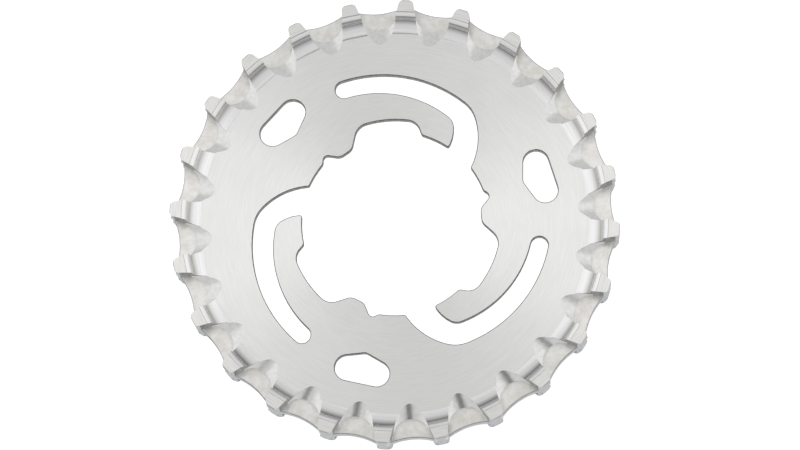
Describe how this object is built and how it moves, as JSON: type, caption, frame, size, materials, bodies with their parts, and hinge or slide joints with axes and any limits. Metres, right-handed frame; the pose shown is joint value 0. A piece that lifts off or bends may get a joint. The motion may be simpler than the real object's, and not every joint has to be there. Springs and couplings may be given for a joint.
{
  "type": "belt drive sprocket",
  "caption": "Rear sprocket for a toothed bicycle belt: thin steel plate with sprung arms round a lugged hub opening, and a rim of belt teeth split by a central guide fin.",
  "frame": {"origin": "on the axis, at the back ends of the teeth, which the part stands on when it lies flat", "axes": "+Z along the axis, out of the front face, the side away from the hub flange; +X through the middle of a tooth"},
  "size_m": [0.082, 0.082, 0.0116],
  "materials": {
    "steel": "straight-brushed plate, turned and polished rim, fine cast texture on the guide fin's sides"
  },
  "bodies": {
    "root": {"sprocket": "steel"}
  },
  "joints": []
}
